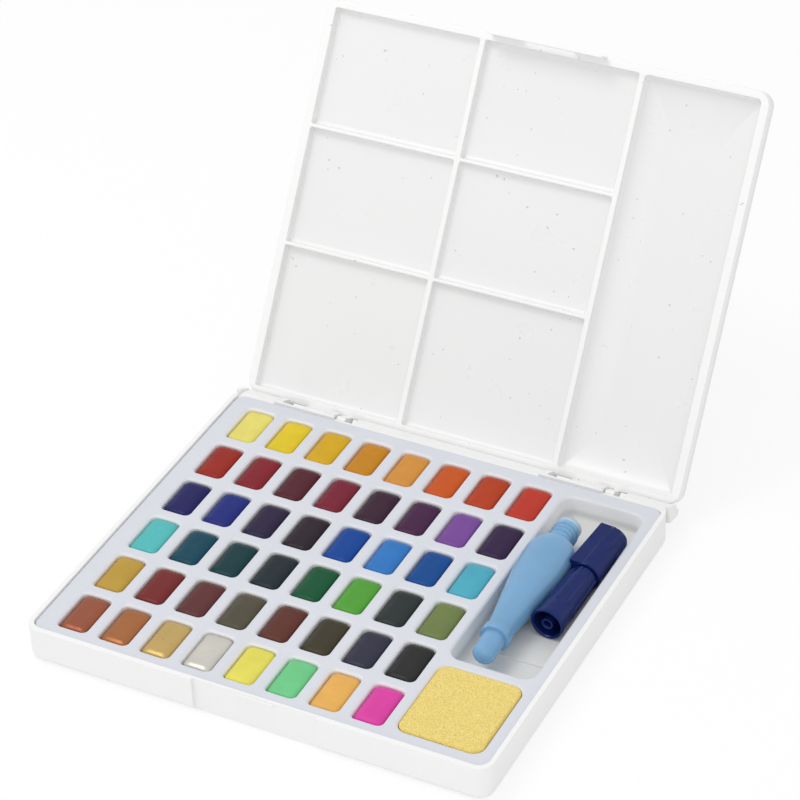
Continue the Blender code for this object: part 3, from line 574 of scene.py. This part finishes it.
def cakeTree():
    tree, given = startTree("cakeForm", [*cakeLook, "Seed"])

    def calc(operation, first, second=0.0):
        return nodeMath(tree, operation, first, second)

    block = tree.nodes.new("GeometryNodeMeshCube")
    block.inputs["Size"].default_value = (1, 1, 1)
    for label, count in cakeGrid.items():
        block.inputs[label].default_value = count
    place = tree.nodes.new("GeometryNodeInputPosition").outputs[0]
    axes = splitPlace(tree, place)

    # outline with round corners: points past a corner's start are drawn in to its arc
    sides = []
    overs = []
    for axis, size in (("X", "Width"), ("Y", "Length")):
        reach = calc("MULTIPLY", calc("ABSOLUTE", axes[axis]), given[size])
        straight = calc("SUBTRACT", calc("MULTIPLY", given[size], 0.5), given["Corner"])
        sides.append((calc("MINIMUM", reach, straight), calc("SIGN", axes[axis])))
        overs.append(calc("MAXIMUM", calc("SUBTRACT", reach, straight), 0.0))
    largest = calc("MAXIMUM", overs[0], overs[1])
    squares = calc("ADD", calc("MULTIPLY", overs[0], overs[0]), calc("MULTIPLY", overs[1], overs[1]))
    ratio = calc("DIVIDE", largest, calc("MAXIMUM", calc("SQRT", squares), 0.0000001))
    placed = [calc("ADD", inner, calc("MULTIPLY", over, ratio)) for (inner, _), over in zip(sides, overs)]

    # top: crowned across, falling at both ends, rounded at its edge and faintly dented
    across = calc("DIVIDE", placed[0], calc("MULTIPLY", given["Width"], 0.5))
    crownDrop = calc("MULTIPLY", given["Crown"], calc("POWER", across, 4.5))
    endStart = calc("SUBTRACT", calc("MULTIPLY", given["Length"], 0.5), given["End reach"])
    endOver = calc("MAXIMUM", calc("SUBTRACT", placed[1], endStart), 0.0)
    endDrop = calc("MULTIPLY", given["End drop"], calc("DIVIDE", endOver, given["End reach"]))
    edgeStart = calc("SUBTRACT", given["Corner"], given["Edge"])
    edgeOver = calc("MAXIMUM", calc("SUBTRACT", largest, edgeStart), 0.0)
    edgeShare = calc("DIVIDE", edgeOver, given["Edge"])
    level = calc("SUBTRACT", 1.0, calc("MULTIPLY", edgeShare, edgeShare))
    rounding = calc("SQRT", calc("MAXIMUM", level, 0.0))
    edgeDrop = calc("MULTIPLY", given["Edge"], calc("SUBTRACT", 1.0, rounding))
    dents = tree.nodes.new("ShaderNodeTexNoise")
    dents.noise_dimensions = "4D"
    dents.inputs["Scale"].default_value = 2.6
    dents.inputs["Detail"].default_value = 2.5
    tree.links.new(place, dents.inputs["Vector"])
    tree.links.new(given["Seed"], dents.inputs["W"])
    dent = calc("MULTIPLY", calc("SUBTRACT", dents.outputs[0], 0.5), given["Dent"])
    top = calc("SUBTRACT", given["Height"], crownDrop)
    for drop in (endDrop, edgeDrop, dent):
        top = calc("SUBTRACT", top, drop)

    moved = tree.nodes.new("ShaderNodeCombineXYZ")
    for index, (_, sign) in enumerate(sides):
        tree.links.new(calc("MULTIPLY", placed[index], sign), moved.inputs[index])
    rise = calc("MULTIPLY", calc("ADD", axes["Z"], 0.5), top)
    tree.links.new(rise, moved.inputs[2])
    setPlace = tree.nodes.new("GeometryNodeSetPosition")
    tree.links.new(block.outputs["Mesh"], setPlace.inputs["Geometry"])
    tree.links.new(moved.outputs[0], setPlace.inputs["Position"])
    endTree(tree, setPlace.outputs[0], given["Material"])
    return tree


cakeForm = cakeTree()
for number, name in enumerate(cakeNodes):
    finish = finishes[slots[name]]
    kind = "metallic" if "metallic" in finish["finish"] else "plain"
    colourName = name.removeprefix("cake_")
    paint = pressedPaint("paint_" + colourName, finish["base_color"][:3], paintLooks[kind])
    mesh = grownMesh(name, cakeForm, {**cakeLook, "Seed": number * 3.7, "Material": paint})
    low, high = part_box(name)
    wobble = math.sin(number * 2.1) * 0.00008  # no cake sits quite in the middle of its pan
    mesh.transform(Matrix.Translation(((low.x + high.x) / 2 + wobble, (low.y + high.y) / 2 - wobble, low.z)))
    dressPiece("paintCake_" + colourName, mesh, paint, "case", name, smoothAngle=50)
print("cakes done")


# Sponge

spongeLook = {"colour": (0.83, 0.66, 0.20), "poreShade": (0.66, 0.46, 0.10), "speck": (0.95, 0.86, 0.52),
              "corner": 0.0042, "edge": 0.0009, "columns": 92, "rows": 104, "layers": 6,
              "poreEvery": 0.0011, "poreDepth": 0.00028, "poreReach": 0.42, "swell": 0.00012}


def foam(name, look):
    # yellow foam, with painted shade in its pores and painted highlights on small specks
    material, tree, shader, place = startMaterial(name)
    # painted shade: the darker pore colour fills the hollows of the cells
    cells = cellTexture(tree, place, 1500)
    shadedHollows = remap(tree, cells, 0.15, 0.5, 0, 1)
    tint = mixColour(tree, shadedHollows, shade(look["poreShade"], 1), shade(look["colour"], 1))
    # painted highlights: small bright specks on the foam
    specks = remap(tree, noiseTexture(tree, place, 1100, 1), 0.7, 0.74, 0, 0.8)
    tint = mixColour(tree, specks, tint, shade(look["speck"], 1))
    tree.links.new(tint, shader.inputs["Base Color"])
    shader.inputs["Roughness"].default_value = 0.9
    shader.inputs["Sheen Weight"].default_value = 0.25
    shader.inputs["Specular IOR Level"].default_value = 0.2
    addBump(tree, shader, cells, 0.0002)
    return material


def spongeBlock():
    # a closed grid, one unit wide and deep, with its top at z 0
    bm = bmesh.new()
    bmesh.ops.create_grid(bm, x_segments=spongeLook["columns"], y_segments=spongeLook["rows"], size=0.5)
    rim = [e for e in bm.edges if e.is_boundary]
    for _ in range(spongeLook["layers"]):
        made = bmesh.ops.extrude_edge_only(bm, edges=rim)["geom"]
        fresh = [v for v in made if isinstance(v, bmesh.types.BMVert)]
        bmesh.ops.translate(bm, vec=(0, 0, -1 / spongeLook["layers"]), verts=fresh)
        rim = [e for e in made if isinstance(e, bmesh.types.BMEdge) and e.is_boundary]
    bmesh.ops.holes_fill(bm, edges=rim)
    return bm


def spongeBody():
    bm = spongeBlock()
    centre = (spongeLow + spongeHigh) / 2
    half = (spongeHigh - spongeLow) / 2
    corner, edge, poreReach = spongeLook["corner"], spongeLook["edge"], spongeLook["poreReach"]
    for vert in bm.verts:
        reach = [abs(vert.co.x) * 2 * half.x, abs(vert.co.y) * 2 * half.y]
        straight = [half.x - corner, half.y - corner]
        over = [max(r - s, 0) for r, s in zip(reach, straight)]
        span = math.hypot(*over)
        ratio = max(over) / span if span else 1
        x, y = (math.copysign(min(r, s) + o * ratio, c)
                for r, s, o, c in zip(reach, straight, over, vert.co.xy))
        share = max(max(over) - corner + edge, 0) / edge
        drop = edge * (1 - math.sqrt(max(1 - share * share, 0)))
        top = spongeHigh.z - spongeLow.z - drop - 0.00002
        z = spongeLow.z + (vert.co.z + 1) * top
        spot = Vector((x, y, z)) / spongeLook["poreEvery"]
        near = noise.voronoi(spot)[0][0]
        pit = max(poreReach - near, 0) / poreReach * spongeLook["poreDepth"]
        swell = noise.noise(spot * 0.09) * spongeLook["swell"]
        inward = Vector((-x * 0.02, -y * 0.02, -1)) if vert.co.z > -0.05 else Vector((-x, -y, 0))
        sunk = inward.normalized() * (pit + abs(swell))
        vert.co = Vector((centre.x + x, centre.y + y, z)) + sunk
    faceOutwards(bm)
    return finishedMesh("sponge", bm)


spongeYellow = foam("yellowFoam", spongeLook)
spongePiece = dressPiece("paintSponge", spongeBody(), spongeYellow, "sponge", "sponge",
                         smoothAngle=80)
print("sponge done")


# Water tank

tankLook = {
    "colour": (0.30, 0.60, 0.90), "pale": (0.80, 0.88, 0.92), "clear": 0.45, "wall": 0.0008,
    "seam": 0.00008, "seamHalf": 0.02, "segments": 72, "mouthRing": 0.0805,
    "tip": (0.066268, -0.0286, 0.0139), "turn": math.radians(1.4),
    # closed nub, collar, belly and neck: (place, half width, half height)
    "stations": ((0, 0.0009, 0.0009), (0.0004, 0.0026, 0.0026), (0.0014, 0.0037, 0.0037),
                 (0.0036, 0.0044, 0.0044), (0.0120, 0.0044, 0.0044), (0.0121, 0.0056, 0.0056),
                 (0.0125, 0.0058, 0.0058), (0.0155, 0.0058, 0.0058), (0.0158, 0.0056, 0.0056),
                 (0.0160, 0.0050, 0.0050), (0.0238, 0.0059, 0.0056), (0.0328, 0.0072, 0.0065),
                 (0.0418, 0.0084, 0.0072), (0.0496, 0.0094, 0.0077), (0.0563, 0.0098, 0.0080),
                 (0.0619, 0.0099, 0.0080), (0.0658, 0.0095, 0.0077), (0.0689, 0.0081, 0.0069),
                 (0.0708, 0.0062, 0.0058), (0.0720, 0.0051, 0.0051), (0.0722, 0.0050, 0.0050),
                 (0.0825, 0.0050, 0.0050)),
    # the hollow's own tip, before it follows the outside at the wall's thickness
    "hollowTip": [(0.0014, 0.0012, 0.0012), (0.0017, 0.0026, 0.0026), (0.0026, 0.0034, 0.0034)],
    "hollowFrom": 0.0042, "threadStart": 0.0738,
    "thread": {"Radius": 0.0050, "Height": 0.0055, "Turns": 2.6, "Bead": 0.00035},
}


def clearPlastic(name, look):
    # translucent, and paler on the ring at the mouth
    material, tree, shader, place = startMaterial(name)
    tint = cloudyColour(tree, place, look["colour"], 0.93, 1, 60, 3, 0.15)
    ringStart = look["tip"][1] + look["mouthRing"]
    ring = remap(tree, splitPlace(tree, place)["Y"], ringStart, ringStart + 0.0003, 0, 0.6)
    tint = mixColour(tree, ring, tint, shade(look["pale"], 1))
    tree.links.new(tint, shader.inputs["Base Color"])
    patchyGloss(tree, shader, place, 120, 0.16, 0.26)
    shader.inputs["Transmission Weight"].default_value = look["clear"]
    shader.inputs["IOR"].default_value = 1.46
    addBump(tree, shader, noiseTexture(tree, place, 350, 2), 0.00003)
    return material


def smoothStations(stations, between=3):
    # a smooth curve through the stations, straight where two are close or equally wide
    dense = []
    last = len(stations) - 1
    for n in range(last):
        around = [stations[max(n - 1, 0)], stations[n], stations[n + 1], stations[min(n + 2, last)]]
        crease = around[2][0] - around[1][0] < 0.0011 or around[2][1] == around[1][1]
        for step in range(between):
            t = step / between
            if crease:
                dense.append(tuple(a + (b - a) * t for a, b in zip(around[1], around[2])))
                continue
            point = []
            for a, b, c, d in zip(*around):
                bend = (2 * a - 5 * b + 4 * c - d) * t * t + (3 * b - a - 3 * c + d) * t * t * t
                point.append(0.5 * (2 * b + (c - a) * t + bend))
            dense.append(tuple(point))
    return dense + [stations[-1]]


def seamRise(along, angle):
    # the mould's parting line, down both sides
    off = min(angle % math.pi, math.pi - angle % math.pi)
    return tankLook["seam"] if off < tankLook["seamHalf"] else 0


def tankBody():
    bm = bmesh.new()
    outer = smoothStations(tankLook["stations"])
    wall, start = tankLook["wall"], tankLook["hollowFrom"]
    inner = [(along, wide - wall, high - wall) for along, wide, high in outer if along > start]
    outside = turnRings(bm, outer, tankLook["segments"], seamRise)
    inside = turnRings(bm, tankLook["hollowTip"] + inner, tankLook["segments"])
    joinRings(bm, outside[-1], inside[-1])
    bm.faces.new(outside[0])
    bm.faces.new(inside[0])
    faceOutwards(bm)
    return finishedMesh("tankBody", bm)


def threadTree():
    # a screw thread: a small round section swept along a spiral
    tree, given = startTree("neckThread", tankLook["thread"])
    spiral = tree.nodes.new("GeometryNodeCurveSpiral")
    spiral.inputs["Resolution"].default_value = 40
    for socket, label in (("Rotations", "Turns"), ("Start Radius", "Radius"),
                          ("End Radius", "Radius"), ("Height", "Height")):
        tree.links.new(given[label], spiral.inputs[socket])
    section = tree.nodes.new("GeometryNodeCurvePrimitiveCircle")
    section.inputs["Resolution"].default_value = 8
    tree.links.new(given["Bead"], section.inputs["Radius"])
    sweep = tree.nodes.new("GeometryNodeCurveToMesh")
    sweep.inputs["Fill Caps"].default_value = True
    tree.links.new(spiral.outputs[0], sweep.inputs["Curve"])
    tree.links.new(section.outputs[0], sweep.inputs["Profile Curve"])
    endTree(tree, sweep.outputs[0], given["Material"])
    return tree


tankBlue = clearPlastic("paleBlueTankPlastic", tankLook)
thread = grownMesh("neckThread", threadTree(), {**tankLook["thread"], "Material": tankBlue})
thread.transform(Matrix.Translation((0, tankLook["threadStart"], 0)) @ Matrix.Rotation(-math.pi / 2, 4, "X"))
tankPlace = Matrix.Translation(tankLook["tip"]) @ Matrix.Rotation(tankLook["turn"], 4, "Z")
tankMesh = joinedMesh("waterTank", [tankBody(), thread], tankPlace)
dressPiece("waterTank", tankMesh, tankBlue, "tank", "water_tank", smoothAngle=42)
print("tank done")


# Brush: grip, feed, tuft and cap, all round one line a little off +Y

brushLook = {
    "colour": (0.006, 0.017, 0.12), "roughness": 0.15, "wear": 0.15, "grain": 0.000003, "gleam": 0.17,
    "segments": 144, "place": (0.0793565, 0.0001, 0.0124), "turn": math.radians(-2.5), "capStart": 0.0311,
    "beads": 8, "beadPhase": math.radians(3), "beadHalf": math.radians(6), "beadRise": 0.00032,
    "flatDepth": 0.00012, "gripBeads": (0.0095, 0.0304), "capBeads": (0.0150, 0.0246),
    # barrels: (place, half width, half height)
    "gripOuter": ((0, 0.0064, 0.0064), (0.0003, 0.0065, 0.0065), (0.0016, 0.0065, 0.0065),
                  (0.0019, 0.0063, 0.0063), (0.0024, 0.0063, 0.0063), (0.0300, 0.0052, 0.0052),
                  (0.0305, 0.0051, 0.0051), (0.0308, 0.0048, 0.0048), (0.0308, 0.0043, 0.0043),
                  (0.0338, 0.0043, 0.0043)),
    "gripInner": ((0, 0.0058, 0.0058), (0.0006, 0.0055, 0.0055), (0.0140, 0.0055, 0.0055),
                  (0.0140, 0.0026, 0.0026), (0.0338, 0.0026, 0.0026)),
    "capOuter": ((0, 0.0059, 0.0059), (0.0003, 0.0061, 0.0061), (0.0240, 0.0056, 0.0056),
                 (0.0253, 0.0054, 0.0054), (0.0258, 0.0049, 0.0049)),
    "capInner": ((0, 0.0050, 0.0050), (0.0003, 0.0048, 0.0048), (0.0244, 0.0043, 0.0043)),
    "feedOuter": ((0, 0.0023, 0.0023), (0.0336, 0.0023, 0.0023)),
    "feedInner": ((0, 0.0016, 0.0016), (0.0004, 0.0014, 0.0014), (0.0376, 0.0014, 0.0014)),
    # the clip's plate and web, as shares of the cap's radius
    "plate": ((-1.03, 1.0), (0.13, 0.96), (0.13, 0.86), (-0.42, 0.80), (-1.03, 0.70)),
    "web": ((-0.97, 0.08), (-0.97, 0.72), (-0.60, 0.72)), "plateShort": 0.0001, "webShort": 0.0006,
    "capRadii": (0.0061, 0.0056), "capLength": 0.0258, "clipRound": 0.00025,
    "feedStart": 0.0003, "headFrom": 0.020, "headRound": 0.00015,
}
tuftLook = {"dark": (0.60, 0.56, 0.48), "pale": (0.82, 0.79, 0.72), "roughness": 0.6}
navy = mouldedPlastic("navyBrushPlastic", brushLook)
brushPlace = Matrix.Translation(brushLook["place"]) @ Matrix.Rotation(brushLook["turn"], 4, "Z")
capPlace = brushPlace @ Matrix.Translation((0, brushLook["capStart"], 0))


def bristle(name, look):
    material, tree, shader, place = startMaterial(name)
    strands = remap(tree, noiseTexture(tree, place, 900, 2), 0.3, 0.7, 0, 1)
    tint = mixColour(tree, strands, shade(look["dark"], 1), shade(look["pale"], 1))
    tree.links.new(tint, shader.inputs["Base Color"])
    shader.inputs["Roughness"].default_value = look["roughness"]
    return material


def beadedSides(start, end):
    # narrow raised beads along the barrel, with faint flats between them
    spacing = 2 * math.pi / brushLook["beads"]

    def shape(along, angle):
        if not start <= along <= end:
            return 0
        off = abs((angle - brushLook["beadPhase"] + spacing / 2) % spacing - spacing / 2)
        flat = -brushLook["flatDepth"] * (0.5 - 0.5 * math.cos(2 * math.pi * off / spacing))
        return brushLook["beadRise"] if off < brushLook["beadHalf"] else flat
    return shape


def spread(stations, step=0.0008):
    # stations close enough together for the beads to start and end crisply
    dense = []
    for first, second in zip(stations, stations[1:]):
        count = max(1, int((second[0] - first[0]) / step))
        for n in range(count):
            dense.append(tuple(a + (b - a) * n / count for a, b in zip(first, second)))
    return dense + [stations[-1]]


def barrel(name, part, beads=None, closedEnd=False):
    # the hollow barrel of one part of the brush, open at its start
    bm = bmesh.new()
    shape = beadedSides(*beads) if beads else None
    outside = turnRings(bm, spread(brushLook[part + "Outer"]), brushLook["segments"], shape)
    inside = turnRings(bm, brushLook[part + "Inner"], brushLook["segments"])
    joinRings(bm, outside[0], inside[0])
    if closedEnd:
        bm.faces.new(outside[-1])
        bm.faces.new(inside[-1])
    else:
        joinRings(bm, outside[-1], inside[-1])
    faceOutwards(bm)
    return finishedMesh(name, bm)


def clipBar(shares, inset):
    # a bar whose outline shrinks with the cap towards its closed end
    bm = bmesh.new()
    rings = []
    for along, radius in zip((inset, brushLook["capLength"] - inset), brushLook["capRadii"]):
        rings.append([bm.verts.new((x * radius, along, z * radius)) for x, z in shares])
    bm.faces.new(rings[0])
    bm.faces.new(rings[1])
    joinRings(bm, *rings)
    faceOutwards(bm)
    return roundedCopy("clipBar", bm, brushLook["clipRound"])


def feedHead():
    # the ferrule from the feed's own solid, its tube drawn up out of the way of the smooth one
    bm = cleanCopy("brush_feed")
    start = brushLook["headFrom"]
    tubeEnd = [v for v in bm.verts if (brushPlace.inverted() @ v.co).y < start]
    bmesh.ops.translate(bm, verts=tubeEnd, vec=brushPlace.to_3x3() @ Vector((0, start, 0)))
    return roundedCopy("feedHead", bm, brushLook["headRound"], 2)


gripMesh = joinedMesh("brushGrip", [barrel("gripShell", "grip", brushLook["gripBeads"])], brushPlace)
dressPiece("brushGrip", gripMesh, navy, "brush", "brush_grip", smoothAngle=25)

capParts = [barrel("capShell", "cap", brushLook["capBeads"], True),
            clipBar(brushLook["plate"], brushLook["plateShort"]),
            clipBar(brushLook["web"], brushLook["webShort"])]
capMesh = joinedMesh("brushCap", capParts, capPlace)
dressPiece("brushCap", capMesh, navy, "cap", "brush_cap", smoothAngle=25)

feedTube = barrel("feedTube", "feed")
feedTube.transform(brushPlace @ Matrix.Translation((0, brushLook["feedStart"], 0)))
feedMesh = joinedMesh("brushFeed", [feedTube, feedHead()])
dressPiece("brushFeed", feedMesh, navy, "brush", "brush_feed")

softer = ("SUBSURF", {"levels": 1, "render_levels": 1})
tuftMesh = finishedMesh("bristleTuft", cleanCopy("bristle_tuft"), [softer])
dressPiece("bristleTuft", tuftMesh, bristle("paleBristle", tuftLook), "brush", "bristle_tuft")
print("brush done")


# Floor, light and camera

stageLook = {
    "floor": (0.93, 0.93, 0.935), "floorRoughness": 0.85, "floorZ": -0.0002,
    "floorWhite": 0.80, "sky": 0.80,
    "keyLight": {"place": (-0.40, -0.15, 1.10), "aim": (0, 0, 0), "size": 0.5, "watts": 3.4},
    "fillLight": {"place": (0.35, -0.95, 0.50), "aim": (0, 0.02, 0.03), "size": 0.7, "watts": 1.55},
}
cameraLook = {
    "lens": 141.971, "sensor": 36, "place": (0.45506759, -0.80194472, 0.76495757),
    "right": (0.89210588, 0.45031313, -0.03694843), "up": (-0.23978129, 0.54115919, 0.80600972),
}


def whiteSeen(tree, share, lit, white):
    # plain white for the camera, in reflections and through the tank; lit as usual elsewhere
    paths = tree.nodes.new("ShaderNodeLightPath")
    mixed = tree.nodes.new("ShaderNodeMixShader")
    rays = paths.outputs["Is Camera Ray"]
    for output in ("Is Glossy Ray", "Is Transmission Ray"):
        rays = nodeMath(tree, "MAXIMUM", rays, paths.outputs[output])
    tree.links.new(nodeMath(tree, "MULTIPLY", rays, share), mixed.inputs[0])
    tree.links.new(lit, mixed.inputs[1])
    tree.links.new(white, mixed.inputs[2])
    return mixed.outputs[0]


def makeFloor():
    bm = bmesh.new()
    bmesh.ops.create_grid(bm, x_segments=1, y_segments=1, size=3)
    mesh = bpy.data.meshes.new("floor")
    bm.to_mesh(mesh)
    bm.free()
    mesh.transform(Matrix.Translation((0, 0, stageLook["floorZ"])))
    floor = bpy.data.objects.new("floor", mesh)
    scene.collection.objects.link(floor)
    material, tree, shader, _ = startMaterial("paleFloor")
    shader.inputs["Base Color"].default_value = shade(stageLook["floor"], 1)
    shader.inputs["Roughness"].default_value = stageLook["floorRoughness"]
    glow = tree.nodes.new("ShaderNodeEmission")
    glow.inputs["Color"].default_value = (1, 1, 1, 1)
    seen = whiteSeen(tree, stageLook["floorWhite"], shader.outputs[0], glow.outputs[0])
    tree.links.new(seen, tree.nodes["Material Output"].inputs["Surface"])
    mesh.materials.append(material)


def makeSky():
    world = bpy.data.worlds.new("studio")
    scene.world = world
    world.use_nodes = True
    tree = world.node_tree
    lit = tree.nodes["Background"]
    white = tree.nodes.new("ShaderNodeBackground")
    for ground, strength in ((lit, stageLook["sky"]), (white, 1)):
        ground.inputs["Color"].default_value = (1, 1, 1, 1)
        ground.inputs["Strength"].default_value = strength
    seen = whiteSeen(tree, 1, lit.outputs[0], white.outputs[0])
    tree.links.new(seen, tree.nodes["World Output"].inputs["Surface"])


def makeLamp(name):
    look = stageLook[name]
    data = bpy.data.lights.new(name, "AREA")
    data.size = look["size"]
    data.energy = look["watts"]
    lamp = bpy.data.objects.new(name, data)
    scene.collection.objects.link(lamp)
    lamp.location = look["place"]
    lamp.rotation_euler = (Vector(look["aim"]) - Vector(look["place"])).to_track_quat("-Z", "Y").to_euler()


def makeCamera():
    data = bpy.data.cameras.new("camera")
    data.lens = cameraLook["lens"]
    data.sensor_width = cameraLook["sensor"]
    data.clip_start = 0.05
    data.clip_end = 20
    camera = bpy.data.objects.new("camera", data)
    scene.collection.objects.link(camera)
    right = Vector(cameraLook["right"])
    up = Vector(cameraLook["up"])
    turned = Matrix((right, up, right.cross(up))).transposed().to_4x4()
    camera.matrix_world = Matrix.Translation(cameraLook["place"]) @ turned
    scene.camera = camera


makeFloor()
makeSky()
makeLamp("keyLight")
makeLamp("fillLight")
makeCamera()
scene.view_settings.view_transform = "Standard"
print("stage done")
